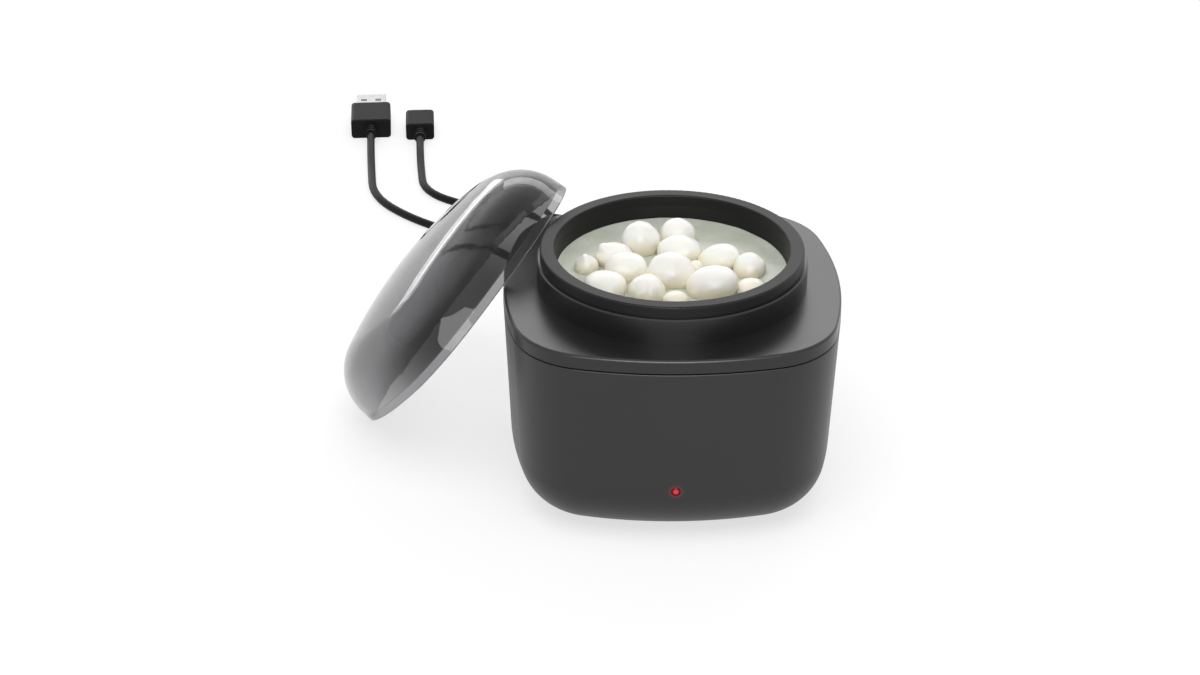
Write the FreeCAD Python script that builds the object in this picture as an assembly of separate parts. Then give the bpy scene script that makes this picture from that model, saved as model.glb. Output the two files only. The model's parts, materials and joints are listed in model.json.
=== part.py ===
import FreeCAD, Part
import math
import os

os.makedirs("parts", exist_ok=True)
Vec = FreeCAD.Vector
UP = Vec(0, 0, 1)

# Inner pot, hung by its flat ring rim on the collar
bowl_radius = 34.9
pot_wall = 1.5
pot_depth = 38.0
pot_taper = 3.8
pot_corner_radius = 8.0
rim_setback = 1.05
rim_thickness = 3.6
rim_edge_radius = 0.5

# Wax in the pot
wax_drop = 8.0
wax_clearance = 0.1
bead_lift = 0.45

# Deck cover with its collar, lip and locating tongue
bore_clearance = 1.55
collar_wall = 2.2
collar_height = 7.6
collar_chamfer = 0.4
deck_ledge = 9.85
deck_lip_height = 4.5
deck_plate = 2.4
deck_edge_radius = 0.8
lip_flare = 0.15
reveal_gap = 0.3
tongue_depth = 3.0
tongue_wall = 1.4
tongue_clearance = 0.25

# Housing tub, a square in plan with bowed sides and round corners
side_radius = 120.0
bottom_radius = 17.4
corner_spare = 6.6
wall_draft = 2.45
edge_break = 0.3
housing_wall = 2.2
housing_floor = 2.4

# Silicone foot ring let into the base
foot_height = 0.6
foot_ring_radius = 29.0
foot_ring_width = 5.0
foot_groove_depth = 1.0

# Heater well and what hangs under it
well_gap = 0.5
well_wall = 0.8
well_bottom = 1.2
pot_base_gap = 0.3
flange_reach = 1.85
gasket_thickness = 0.8
film_margin = 0.6
film_thickness = 0.5
film_tail_width = 8.0
film_tail_length = 4.5
felt_overhang = 1.5
felt_thickness = 3.0
clamp_overhang = 1.0
clamp_thickness = 1.0
stud_radius = 2.0
stud_reach = 1.4
nut_flats = 7.0
nut_height = 3.2
sensor_radius = 2.0
sensor_length = 7.5
sensor_offset = 13.0
fuse_radius = 2.0
fuse_length = 10.0
fuse_inset = 12.0
fuse_lead_radius = 0.4
fuse_lead_reach = 2.5
fuse_lead_root = 1.0
clip_thickness = 0.6
clip_width = 5.0
clip_foot = 3.0
lead_radius = 0.6
lead_bow = 3.0
lead_end = 2.5
lead_inset = 1.0
heater_lead_spread = 2.5
sensor_lead_spread = 0.9
stack_clearance = 0.3

# Screws, posts and bosses
post_offset = 1.35
post_radius = 2.8
boss_radius = 3.6
boss_height = 27.0
screw_bore_radius = 2.6
screw_seat_depth = 6.0
screw_radius = 1.25
screw_head_radius = 2.3
screw_head_height = 1.8
screw_length = 12.0
screw_bore_spare = 1.0
plug_length = 2.5
plug_recess = 0.6
flange_screw_radius = 0.75
flange_screw_head = 1.5
flange_screw_head_height = 1.1
flange_screw_bite = 3.5
thread_clearance = 0.1
fit_clearance = 0.2

# Control board and its components
board_post_height = 11.0
board_post_radius = 2.4
board_thickness = 1.6
board_half_width = 17.0
board_corner = 2.0
board_wall_gap = 0.4
board_led_margin = 1.2
board_hole_inset = 3.5
board_hole_front_inset = 12.5
board_hole_back_inset = 7.8
board_screw_radius = 0.9
board_screw_head = 1.9
board_screw_head_height = 1.3
board_screw_length = 6.0
stack_headroom = 8.2
chip_size = 5.0
chip_height = 1.5
chip_centre = (-5.0, -1.5)
choke_size = 7.0
choke_height = 3.2
choke_chamfer = 0.8
choke_centre = (6.0, -2.5)
switch_size = 6.2
switch_height = 2.3
switch_centre = (0.0, -17.0)
capacitor_radius = 2.5
capacitor_height = 5.5
capacitor_spread = 9.0
capacitor_line = 26.0

# Micro USB inlet in the back wall
socket_width = 7.5
socket_height = 2.6
socket_length = 6.8
socket_sheet = 0.3
socket_set_back = 0.7
socket_tongue_width = 4.6
socket_tongue_height = 0.6
socket_tongue_set_back = 1.0
slot_clearance = 0.3

# Indicator light low on the front wall
led_standoff = 3.1
lens_radius = 1.2
lens_flange_radius = 1.9
lens_flange = 0.8
lens_proud = 0.1
led_radius = 1.5
led_length = 3.6
led_rim_radius = 1.9
led_rim = 0.8
led_gap = 0.2
led_leg = 0.5
led_leg_spread = 1.27

# Smoky lid, taken off and leant against the pot
lid_half = 44.5
lid_side_radius = 95.0
lid_corner_radius = 27.0
lid_height = 24.5
lid_crown_radius = 150.0
lid_edge_radius = 18.0
lid_draft = 6.0
lid_wall = 1.8
lid_lip_height = 2.6
lid_lip_step = 0.7
lid_lean = 52.0
lid_heading = 167.65
lid_turn = -36.9
lid_rim_radius = 0.4
lean_clearance = 0.45

# USB lead: cord, coil and tie
cord_radius = 1.5
coil_centre = Vec(4.0, 98.0, 0)
coil_heading = 216.0
coil_radius = 20.4
coil_gap = 0.5
coil_half_turns = 5
tie_thickness = 0.6
tie_width = 5.0
tie_slack = 0.3
exit_run = 10.0
coil_run = 18.0

# USB-A plug
a_plug_place = Vec(-108.6, 246.0, 0)
a_plug_heading = 3.6
a_mould_width = 15.7
a_mould_height = 8.0
a_mould_length = 18.0
a_shell_width = 12.0
a_shell_height = 4.5
a_shell_length = 12.0
a_shell_sheet = 0.3
a_tongue_height = 1.9
a_window_width = 2.4
a_window_length = 2.0
a_window_offset = 2.9
a_window_from_mould = 5.2
a_contact_width = 1.0
a_contact_height = 0.2
a_contact_length = 8.4
a_contact_pitch = 2.3

# Micro USB plug
m_plug_place = Vec(-89.0, 244.0, 0)
m_plug_heading = 2.9
m_mould_width = 11.2
m_mould_height = 7.0
m_mould_length = 14.5
m_shell_width = 6.85
m_shell_height = 1.85
m_shell_length = 6.0
m_shell_sheet = 0.25
m_shell_chamfer = 0.7
m_tongue_height = 0.6

# Strain reliefs and moulded edges, alike on both plugs
mould_edge_radius = 1.4
mould_end_radius = 0.5
relief_radius = 2.75
relief_tip_radius = 2.2
relief_length = 6.0
relief_rings = 3
relief_groove = 0.35
relief_groove_width = 0.9

# Levels, stacked up from the floor
housing_base = foot_height
floor_level = housing_base + housing_floor
board_height = floor_level + board_post_height
board_top = board_height + board_thickness
led_height = board_top + led_standoff
nut_under = board_top + stack_headroom + stud_reach
clamp_under = nut_under + nut_height
felt_under = clamp_under + clamp_thickness
film_under = felt_under + felt_thickness
well_under = film_under + film_thickness
well_floor = well_under + well_bottom
pot_bottom = well_floor + pot_base_gap
rim_top = pot_bottom + pot_wall + pot_depth
wax_level = rim_top - wax_drop
collar_top = rim_top - rim_thickness
deck_top = collar_top - collar_height
deck_under = deck_top - deck_plate
parting = deck_top - deck_lip_height
gasket_under = deck_under - gasket_thickness
boss_top = floor_level + boss_height
screw_seat = boss_top - screw_seat_depth

# Widths, worked out from the bowl outwards
pot_radius = bowl_radius + pot_wall
collar_bore = pot_radius + bore_clearance
collar_radius = collar_bore + collar_wall
rim_radius = collar_radius - rim_setback
flange_radius = collar_radius + flange_reach
post_xy = (collar_radius + post_offset) / math.sqrt(2)
film_radius = pot_radius - pot_taper - pot_corner_radius - film_margin
felt_radius = film_radius + felt_overhang
clamp_radius = film_radius + clamp_overhang
fuse_offset = clamp_radius - fuse_inset
deck_half = collar_radius + deck_ledge
corner_radius = bottom_radius + corner_spare
housing_top_half = deck_half + lip_flare
housing_base_half = housing_top_half - wall_draft


def save(shape, node):
    shape.exportStep("parts/" + node + ".step")


def tangent_arc(start, corner, end):
    """Arc from start to end whose end tangents meet at corner."""
    middle = (start + end) * 0.5
    cosine = (start - middle).Length / (start - corner).Length
    crest = middle + (corner - middle) * (cosine / (1 + cosine))
    return Part.Arc(start, crest, end).toShape()


def squircle(half, side, corner, z):
    """Closed outline of four bowed sides and four corner arcs, all tangent."""
    shift = side - half
    centre = (-shift + math.sqrt(2 * (side - corner) ** 2 - shift ** 2)) / 2
    swing = math.atan2(centre, centre + shift)
    edges = []
    for quarter in range(4):
        turn = quarter * math.pi / 2

        def at(x, y):
            return Vec(x * math.cos(turn) - y * math.sin(turn),
                       x * math.sin(turn) + y * math.cos(turn), z)

        end_x = -shift + side * math.cos(swing)
        end_y = side * math.sin(swing)
        diagonal = centre + corner / math.sqrt(2)
        edges.append(Part.Arc(at(end_x, -end_y), at(half, 0), at(end_x, end_y)).toShape())
        edges.append(Part.Arc(at(end_x, end_y), at(diagonal, diagonal), at(end_y, end_x)).toShape())
    return Part.Wire(edges)


def body_outline(half, z):
    inset = deck_half - half
    return squircle(half, side_radius - inset, corner_radius - inset, z)


def lid_outline(inset, z):
    return squircle(lid_half - inset, lid_side_radius - inset, lid_corner_radius - inset, z)


def loft(*wires):
    return Part.makeLoft(list(wires), True, True)


def edges_at(shape, z):
    """Edges that lie flat at one height."""
    return [e for e in shape.Edges
            if abs(e.BoundBox.ZMin - z) < 1e-4 and abs(e.BoundBox.ZMax - z) < 1e-4]


def rod(radius, bottom, top, x=0.0, y=0.0):
    return Part.makeCylinder(radius, top - bottom, Vec(x, y, bottom), UP)


def ring(outer, inner, bottom, top):
    return rod(outer, bottom, top).cut(rod(inner, bottom, top))


def block(x0, x1, y0, y1, z0, z1):
    return Part.makeBox(x1 - x0, y1 - y0, z1 - z0, Vec(x0, y0, z0))


def standing_block(centre, size, bottom, height):
    """Square block about a point in plan."""
    x, y = centre
    return block(x - size / 2, x + size / 2, y - size / 2, y + size / 2, bottom, bottom + height)


def revolved(points):
    """Full turn about Z of a closed outline given as (radius, height)."""
    wire = Part.makePolygon([Vec(r, 0, z) for r, z in points + points[:1]])
    return Part.Face(wire).revolve(Vec(0, 0, 0), UP, 360)


def corners(x, y):
    return [(x, y), (-x, y), (-x, -y), (x, -y)]


def four_posts(radius, bottom, top):
    return [rod(radius, bottom, top, x, y) for x, y in corners(post_xy, post_xy)]


def four_on_axes(distance):
    return [(distance, 0), (0, distance), (-distance, 0), (0, -distance)]


def wire_rod(points, radius):
    """Round rod along straight runs with tangent arcs, each as large as its runs allow."""
    reach = 0.45
    radii = []
    edges = []
    here = points[0]
    for before, corner, after in zip(points, points[1:], points[2:]):
        run_in = corner - before
        run_out = after - corner
        cut = reach * min(run_in.Length, run_out.Length)
        start = corner - run_in * (cut / run_in.Length)
        end = corner + run_out * (cut / run_out.Length)
        radii.append(cut / math.tan(run_in.getAngle(run_out) / 2))
        edges.append(Part.LineSegment(here, start).toShape())
        edges.append(tangent_arc(start, corner, end))
        here = end
    edges.append(Part.LineSegment(here, points[-1]).toShape())
    return pipe(edges, radius), radii


def pipe(edges, radius):
    path = Part.Wire(edges)
    first = edges[0]
    start = first.valueAt(first.FirstParameter)
    along = first.tangentAt(first.FirstParameter)
    section = Part.Wire([Part.Circle(start, along, radius).toShape()])
    return path.makePipeShell([section], True, False)


def tub_half(z, wall):
    """Half width of the tub at a height, on its outside or one wall further in."""
    bottom = housing_base if wall == 0 else floor_level
    half = housing_base_half - wall + wall_draft * (z - bottom) / (parting - bottom)
    round_radius = bottom_radius - wall
    below = max(bottom + round_radius - z, 0)
    return half - round_radius + math.sqrt(round_radius ** 2 - below ** 2)


# Lower housing: one moulded tub with drafted walls, screw bosses and board posts
tub = loft(body_outline(housing_base_half, housing_base), body_outline(housing_top_half, parting))
tub = tub.makeFillet(bottom_radius, edges_at(tub, housing_base))
tub = tub.makeFillet(edge_break, edges_at(tub, parting))
cavity = loft(body_outline(housing_base_half - housing_wall, floor_level),
              body_outline(housing_top_half - housing_wall, parting))
cavity = cavity.makeFillet(bottom_radius - housing_wall, edges_at(cavity, floor_level))
socket_mouth = tub_half(board_top, 0) - socket_set_back
socket_mid = board_top + socket_height / 2
front_face = tub_half(led_height, 0)
lens_back = front_face - housing_wall - lens_flange - stack_clearance
led_back = lens_back - led_gap - led_length
inside_radius = side_radius - deck_half + housing_base_half - housing_wall
inside_bow = inside_radius - math.sqrt(inside_radius ** 2 - board_half_width ** 2)
board_front = -led_back - board_led_margin
board_back = tub_half(board_height, housing_wall) - inside_bow - board_wall_gap
board_hole_x = board_half_width - board_hole_inset
board_hole_places = [(x, y) for x in (-board_hole_x, board_hole_x)
                     for y in (board_front + board_hole_front_inset, board_back - board_hole_back_inset)]
bosses = four_posts(boss_radius, housing_base, boss_top)
bosses += [rod(board_post_radius, floor_level, board_height, x, y) for x, y in board_hole_places]
lower_housing = tub.cut(cavity).fuse([boss.common(tub) for boss in bosses])
slot = block(-socket_width / 2 - slot_clearance, socket_width / 2 + slot_clearance,
             socket_mouth - socket_length - slot_clearance, housing_top_half,
             board_top - slot_clearance, board_top + socket_height + slot_clearance)
outward = Vec(0, -1, 0)
lens_hole = Part.makeCylinder(lens_radius + fit_clearance, housing_top_half, Vec(0, 0, led_height), outward)
cuts = [slot, lens_hole]
cuts.append(ring(foot_ring_radius + fit_clearance, foot_ring_radius - foot_ring_width - fit_clearance,
                 housing_base, housing_base + foot_groove_depth))
cuts += four_posts(screw_bore_radius, 0, screw_seat)
cuts += four_posts(screw_radius + thread_clearance, screw_seat, boss_top)
cuts += [rod(board_screw_radius + thread_clearance, board_height - board_screw_length, board_height, x, y)
         for x, y in board_hole_places]
lower_housing = lower_housing.cut(cuts).removeSplitter()
save(lower_housing, "lower_housing")

# Foot ring: soft silicone, pressed into the groove of the base
foot_ring = ring(foot_ring_radius, foot_ring_radius - foot_ring_width, 0, housing_base + foot_groove_depth)
save(foot_ring, "foot_ring")

# Top deck: plate, lip, locating tongue, round collar and four screw posts in one moulding
lip_bottom = parting + reveal_gap
lip = loft(body_outline(housing_top_half, lip_bottom), body_outline(deck_half, deck_top))
lip = lip.makeFillet(deck_edge_radius, edges_at(lip, deck_top))
lip = lip.makeFillet(edge_break, edges_at(lip, lip_bottom))
tongue_half = housing_top_half - housing_wall - tongue_clearance
tongue = loft(body_outline(tongue_half, parting - tongue_depth), body_outline(tongue_half, lip_bottom))
pocket_half = tongue_half - tongue_wall
pocket = loft(body_outline(pocket_half, parting - tongue_depth), body_outline(pocket_half, deck_under))
collar = rod(collar_radius, deck_under, collar_top)
collar = collar.makeChamfer(collar_chamfer, edges_at(collar, collar_top))
top_deck = lip.fuse(tongue).cut(pocket).fuse([collar] + four_posts(post_radius, boss_top, deck_under))
cuts = [rod(collar_bore, 0, rim_top)]
cuts += four_posts(screw_radius + thread_clearance, boss_top, screw_seat + screw_length + screw_bore_spare)
collar_middle = collar_radius - collar_wall / 2
cuts += [rod(flange_screw_radius + thread_clearance, deck_under, deck_under + flange_screw_bite, x, y)
         for x, y in four_on_axes(collar_middle)]
top_deck = top_deck.cut(cuts).removeSplitter()
save(top_deck, "top_deck")

# Housing screws up the bosses into the deck posts, and the soft plugs that hide them
screws = []
for x, y in corners(post_xy, post_xy):
    head = rod(screw_head_radius, screw_seat - screw_head_height, screw_seat, x, y)
    screws.append(head.fuse(rod(screw_radius, screw_seat, screw_seat + screw_length, x, y)).removeSplitter())
save(Part.makeCompound(screws), "housing_screws")
plug_bottom = floor_level - plug_recess
save(Part.makeCompound(four_posts(screw_bore_radius - fit_clearance, plug_bottom, plug_bottom + plug_length)),
     "screw_plugs")


def pot_side(z):
    """Outer radius of the pot's tapered wall at a height."""
    return pot_radius - pot_taper * (collar_top - z) / (collar_top - pot_bottom)


# Inner pot: spun bowl with a flat ring rim that rests on the collar
pot = revolved([(0, pot_bottom), (pot_side(pot_bottom), pot_bottom), (pot_radius, collar_top),
                (rim_radius, collar_top), (rim_radius, rim_top), (0, rim_top)])
pot = pot.makeFillet(pot_corner_radius, edges_at(pot, pot_bottom))
pot = pot.makeFillet(rim_edge_radius, edges_at(pot, rim_top))
bowl_floor = pot_bottom + pot_wall
bowl = revolved([(0, bowl_floor), (pot_side(bowl_floor) - pot_wall, bowl_floor),
                 (bowl_radius, collar_top), (bowl_radius, rim_top), (0, rim_top)])
bowl = bowl.makeFillet(pot_corner_radius - pot_wall, edges_at(bowl, bowl_floor))
inner_pot = pot.cut(bowl)
inner_pot = inner_pot.makeFillet(rim_edge_radius, [
    e for e in edges_at(inner_pot, rim_top) if abs(e.Curve.Radius - bowl_radius) < 1e-4])
save(inner_pot, "inner_pot")

# Melted wax: fills the bowl up to its level
wax_under = bowl_floor + wax_clearance
wax_inset = pot_wall + wax_clearance
wax = revolved([(0, wax_under), (pot_side(bowl_floor) - wax_inset, wax_under),
                (pot_side(wax_level) - wax_inset, wax_level), (0, wax_level)])
wax_pool = wax.makeFillet(pot_corner_radius - pot_wall, edges_at(wax, wax_under))
save(wax_pool, "wax_pool")

# Wax beads: (x, y, radius) of each, softened and sunk into the melted wax
beads = [
    (-9.0, 12.8, 5.7), (2.4, 17.8, 5.0), (2.5, 7.6, 5.1),
    (-17.2, 4.6, 4.4), (-25.6, -0.6, 3.5), (-13.5, -4.1, 5.0),
    (-0.6, -7.4, 6.6), (14.2, 2.9, 5.6), (22.7, -2.7, 4.5),
    (11.1, -14.3, 6.9), (-8.2, -17.4, 5.1), (-20.2, -14.6, 6.0),
    (0.2, -20.6, 3.4), (22.6, -13.6, 4.2), (7.0, -1.6, 2.3),
]
above_wax = rod(bowl_radius - wax_clearance, wax_level, rim_top + wax_drop)
save(Part.makeCompound([Part.makeSphere(radius, Vec(x, y, wax_level + bead_lift * radius)).common(above_wax)
                        for x, y, radius in beads]), "wax_beads")


def well_side(z):
    return pot_side(z) + well_gap


# Heater well: spun aluminium cup with a flange and a clamping stud under its floor
well_corner = pot_corner_radius + well_gap
well = revolved([(0, well_under), (well_side(well_under) + well_wall, well_under),
                 (well_side(gasket_under) + well_wall, gasket_under), (0, gasket_under)])
well = well.makeFillet(well_corner + well_wall, edges_at(well, well_under))
well_space = revolved([(0, well_floor), (well_side(well_floor), well_floor),
                       (well_side(gasket_under), gasket_under), (0, gasket_under)])
well_space = well_space.makeFillet(well_corner, edges_at(well_space, well_floor))
flange = rod(flange_radius, gasket_under - well_wall, gasket_under)
stud = rod(stud_radius, nut_under - stud_reach, well_under)
post_notches = four_posts(post_radius + stack_clearance, 0, deck_under)
flange_holes = [rod(flange_screw_radius + thread_clearance, 0, deck_under, x, y)
                for x, y in four_on_axes(collar_middle)]
heater_well = well.fuse(flange).cut(well_space).fuse(stud).cut(post_notches + flange_holes).removeSplitter()
save(heater_well, "heater_well")

# Well gasket: silicone sheet between the flange and the deck
well_gasket = ring(flange_radius, collar_bore, gasket_under, deck_under).cut(post_notches + flange_holes)
save(well_gasket, "well_gasket")

# Flange screws up into the foot of the collar
flange_screws = []
flange_under = gasket_under - well_wall
for x, y in four_on_axes(collar_middle):
    head = rod(flange_screw_head, flange_under - flange_screw_head_height, flange_under, x, y)
    shank = rod(flange_screw_radius, flange_under, deck_under + flange_screw_bite - stack_clearance, x, y)
    flange_screws.append(head.fuse(shank).removeSplitter())
save(Part.makeCompound(flange_screws), "flange_screws")

# Film heater, felt and clamp plate, stacked on the stud under the well
stud_hole = rod(stud_radius + stack_clearance, 0, well_under)
sensor_hole = rod(sensor_radius + stack_clearance, 0, well_under, sensor_offset, 0)
film = rod(film_radius, film_under, well_under)
tail = block(-film_tail_width / 2, film_tail_width / 2, -film_radius - film_tail_length, -film_radius / 2,
             film_under, well_under)
heater_film = film.fuse(tail).cut([stud_hole, sensor_hole]).removeSplitter()
save(heater_film, "heater_film")
felt_disc = rod(felt_radius, felt_under, film_under).cut([stud_hole, sensor_hole])
save(felt_disc, "felt_disc")
clamp_plate = rod(clamp_radius, clamp_under, felt_under).cut([stud_hole, sensor_hole])
save(clamp_plate, "clamp_plate")

# Clamp nut on the stud
nut_corner = nut_flats / math.sqrt(3)
nut_outline = [Vec(nut_corner * math.cos(math.radians(a)), nut_corner * math.sin(math.radians(a)), nut_under)
               for a in range(0, 361, 60)]
clamp_nut = Part.Face(Part.makePolygon(nut_outline)).extrude(UP * nut_height)
clamp_nut = clamp_nut.cut(rod(stud_radius + thread_clearance, nut_under, clamp_under))
save(clamp_nut, "clamp_nut")

# Temperature sensor, pressed up through the stack against the well
temperature_sensor = rod(sensor_radius, well_under - sensor_length, well_under, sensor_offset, 0)
save(temperature_sensor, "temperature_sensor")

# Thermal fuse with its leads, held to the clamp plate by a strap clip
fuse_mid = clamp_under - fuse_radius - thread_clearance


def fuse_cylinder(radius, length):
    """Cylinder on the fuse's own axis, centred on the clamp plate."""
    return Part.makeCylinder(radius, length, Vec(-length / 2, fuse_offset, fuse_mid), Vec(1, 0, 0))


fuse_parts = [fuse_cylinder(fuse_radius, fuse_length)]
for side in (-1, 1):
    start = Vec(side * (fuse_length / 2 - fuse_lead_root), fuse_offset, fuse_mid)
    bend = Vec(side * (fuse_length / 2 + fuse_lead_reach), fuse_offset, fuse_mid)
    foot = Vec(bend.x, fuse_offset, board_top)
    fuse_parts.append(wire_rod([start, bend, foot], fuse_lead_radius)[0])
thermal_fuse = fuse_parts[0].fuse(fuse_parts[1:]).removeSplitter()
save(thermal_fuse, "thermal_fuse")
strap_inner = fuse_radius + thread_clearance
strap_outer = strap_inner + clip_thickness
clip_half = clip_width / 2
foot_end = strap_outer + clip_foot
clip = fuse_cylinder(strap_outer, clip_width)
clip = clip.fuse(block(-clip_half, clip_half, fuse_offset - foot_end, fuse_offset + foot_end,
                       clamp_under - clip_thickness, clamp_under))
fuse_slot = block(-clip_half, clip_half, fuse_offset - strap_inner, fuse_offset + strap_inner,
                  fuse_mid, clamp_under)
above_plate = block(-clip_half, clip_half, fuse_offset - foot_end, fuse_offset + foot_end,
                    clamp_under, well_under)
clip = clip.cut([fuse_cylinder(strap_inner, clip_width), fuse_slot, above_plate])
save(clip.removeSplitter(), "fuse_clip")

# Control board on its four posts
board = block(-board_half_width, board_half_width, board_front, board_back, board_height, board_top)
board = board.makeFillet(board_corner, [e for e in board.Edges
                                        if e.BoundBox.ZLength > board_thickness - 1e-3])
board_bores = [rod(board_screw_radius + thread_clearance, board_height, board_top, x, y)
               for x, y in board_hole_places]
save(board.cut(board_bores), "control_board")
board_screws = []
for x, y in board_hole_places:
    head = rod(board_screw_head, board_top, board_top + board_screw_head_height, x, y)
    shank = rod(board_screw_radius, board_top - board_screw_length, board_top, x, y)
    board_screws.append(head.fuse(shank).removeSplitter())
save(Part.makeCompound(board_screws), "board_screws")

# Board components: controller chip, choke, two capacitors and the heater switch
chip = standing_block(chip_centre, chip_size, board_top, chip_height)
choke = standing_block(choke_centre, choke_size, board_top, choke_height)
choke = choke.makeChamfer(choke_chamfer, [e for e in choke.Edges if e.BoundBox.ZLength > choke_height - 1e-3])
switch = standing_block(switch_centre, switch_size, board_top, switch_height)
capacitors = [rod(capacitor_radius, board_top, board_top + capacitor_height, x, capacitor_line)
              for x in (-capacitor_spread, capacitor_spread)]
save(Part.makeCompound([chip, choke, switch] + capacitors), "board_components")

# Micro USB inlet: folded steel shell with a contact tongue, soldered to the board's back edge
shell_outer = block(-socket_width / 2, socket_width / 2, socket_mouth - socket_length, socket_mouth,
                    board_top, board_top + socket_height)
shell_inner = block(-socket_width / 2 + socket_sheet, socket_width / 2 - socket_sheet,
                    socket_mouth - socket_length + socket_sheet, socket_mouth,
                    board_top + socket_sheet, board_top + socket_height - socket_sheet)
socket_tongue = block(-socket_tongue_width / 2, socket_tongue_width / 2, socket_mouth - socket_length,
                      socket_mouth - socket_tongue_set_back, socket_mid - socket_tongue_height / 2,
                      socket_mid + socket_tongue_height / 2)
save(shell_outer.cut(shell_inner).fuse(socket_tongue).removeSplitter(), "usb_socket")

# Indicator light: red lens in the front wall and the lamp behind it on the board
lens_start = Vec(0, -lens_back, led_height)
led_lens = Part.makeCylinder(lens_radius, front_face + lens_proud - lens_back, lens_start, outward)
led_lens = led_lens.fuse(Part.makeCylinder(lens_flange_radius, lens_flange, lens_start, outward))
save(led_lens.removeSplitter(), "led_lens")
led_dome = led_back + led_length - led_radius
lamp = Part.makeCylinder(led_radius, led_dome - led_back, Vec(0, -led_back, led_height), outward)
lamp = lamp.fuse([Part.makeSphere(led_radius, Vec(0, -led_dome, led_height)),
                  Part.makeCylinder(led_rim_radius, led_rim, Vec(0, -led_back, led_height), outward)])
for side in (-1, 1):
    x = side * led_leg_spread
    leg = block(x - led_leg / 2, x + led_leg / 2, -led_back, -led_back + led_leg, board_top,
                led_height + led_leg / 2)
    lamp = lamp.fuse(leg)
save(lamp.removeSplitter(), "indicator_led")

# Wires from the board up to the film heater's tail and to the sensor
def bowed_lead(x, y, bow, top):
    """Wire that leaves square to the board, bows aside and ends square to what it feeds."""
    middle = (top + board_top) / 2
    route = [Vec(x, y, top), Vec(x, y, top - lead_end), Vec(x, y + bow, middle),
             Vec(x, y, board_top + lead_end), Vec(x, y, board_top)]
    return wire_rod(route, lead_radius)[0]


tail_middle = -film_radius - film_tail_length / 2 - lead_inset
save(Part.makeCompound([bowed_lead(x, tail_middle, -lead_bow, film_under)
                        for x in (-heater_lead_spread, heater_lead_spread)]), "heater_leads")
sensor_end = well_under - sensor_length
save(Part.makeCompound([bowed_lead(sensor_offset, y, math.copysign(lead_bow, y), sensor_end)
                        for y in (-sensor_lead_spread, sensor_lead_spread)]), "sensor_leads")


roll_limit = 1.3


def lid_solid(inset, height, crown, edge):
    """Drafted squircle prism under a spherical crown, with a rolled edge between them."""
    lean = math.tan(math.radians(lid_draft))
    prism = loft(lid_outline(inset, 0), lid_outline(inset + lean * lid_height, lid_height))
    dome = Part.makeSphere(crown, Vec(0, 0, height - crown))
    body = prism.common(dome)
    crown_face = [f for f in body.Faces if isinstance(f.Surface, Part.Sphere)][0]
    side_height = crown_face.BoundBox.ZMin
    return body.makeFillet(min(edge, roll_limit * side_height), crown_face.Edges)


# Lid: smoky clear moulding with a stepped rim, slid along the floor until it meets the deck's
# edge and the way that the pot is lifted out
slide_steps = 12
lid_outer = lid_solid(0, lid_height, lid_crown_radius, lid_edge_radius)
lid_outer = lid_outer.makeFillet(lid_rim_radius, edges_at(lid_outer, 0))
lid_inner = lid_solid(lid_wall, lid_height - lid_wall, lid_crown_radius - lid_wall,
                      lid_edge_radius - lid_wall)
lip_step = loft(lid_outline(lid_wall - lid_lip_step, 0), lid_outline(lid_wall - lid_lip_step, lid_lip_height))
lid = lid_outer.cut([lid_inner, lip_step])
lid.rotate(Vec(0, 0, 0), UP, lid_turn)
lid.rotate(Vec(0, 0, 0), Vec(0, 1, 0), lid_lean)
lid.rotate(Vec(0, 0, 0), UP, lid_heading)
lid.translate(Vec(-deck_half - lid_half, lid_half, -lid.optimalBoundingBox(False, False).ZMin))
lift_path = rod(rim_radius, collar_top, rim_top + lid_half)
for count in range(slide_steps):
    lid.translate(Vec(lid.distToShape(top_deck)[0] - lean_clearance, 0, 0))
    lid.translate(Vec(0, lean_clearance - lid.distToShape(lift_path)[0], 0))
save(lid, "lid")


def laid_down(shape, place, heading, axis_height):
    """Lay a plug made along +Y about the origin on the floor at its place."""
    shape.rotate(Vec(0, 0, 0), UP, heading)
    shape.translate(Vec(place.x, place.y, axis_height))
    return shape


def overmould(width, height, length):
    mould = block(-width / 2, width / 2, 0, length, -height / 2, height / 2)
    mould = mould.makeFillet(mould_edge_radius, [e for e in mould.Edges if e.BoundBox.YLength > length - 1e-3])
    return mould.makeFillet(mould_end_radius, [e for e in mould.Edges if e.BoundBox.YLength < 1e-3])


def strain_relief():
    """Short tapered sleeve behind the moulding, ringed by grooves so that it can flex."""
    sleeve = Part.makeCone(relief_radius, relief_tip_radius, relief_length, Vec(0, 0, 0), Vec(0, -1, 0))
    step = relief_length / (relief_rings + 1)
    for count in range(relief_rings):
        y = -step * (count + 1)
        size = relief_radius + (relief_tip_radius - relief_radius) * (-y / relief_length)
        groove = Part.makeCylinder(relief_radius + 1, relief_groove_width,
                                   Vec(0, y + relief_groove_width / 2, 0), Vec(0, -1, 0))
        core = Part.makeCylinder(size - relief_groove, relief_groove_width,
                                 Vec(0, y + relief_groove_width / 2, 0), Vec(0, -1, 0))
        sleeve = sleeve.cut(groove.cut(core))
    return sleeve


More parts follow.
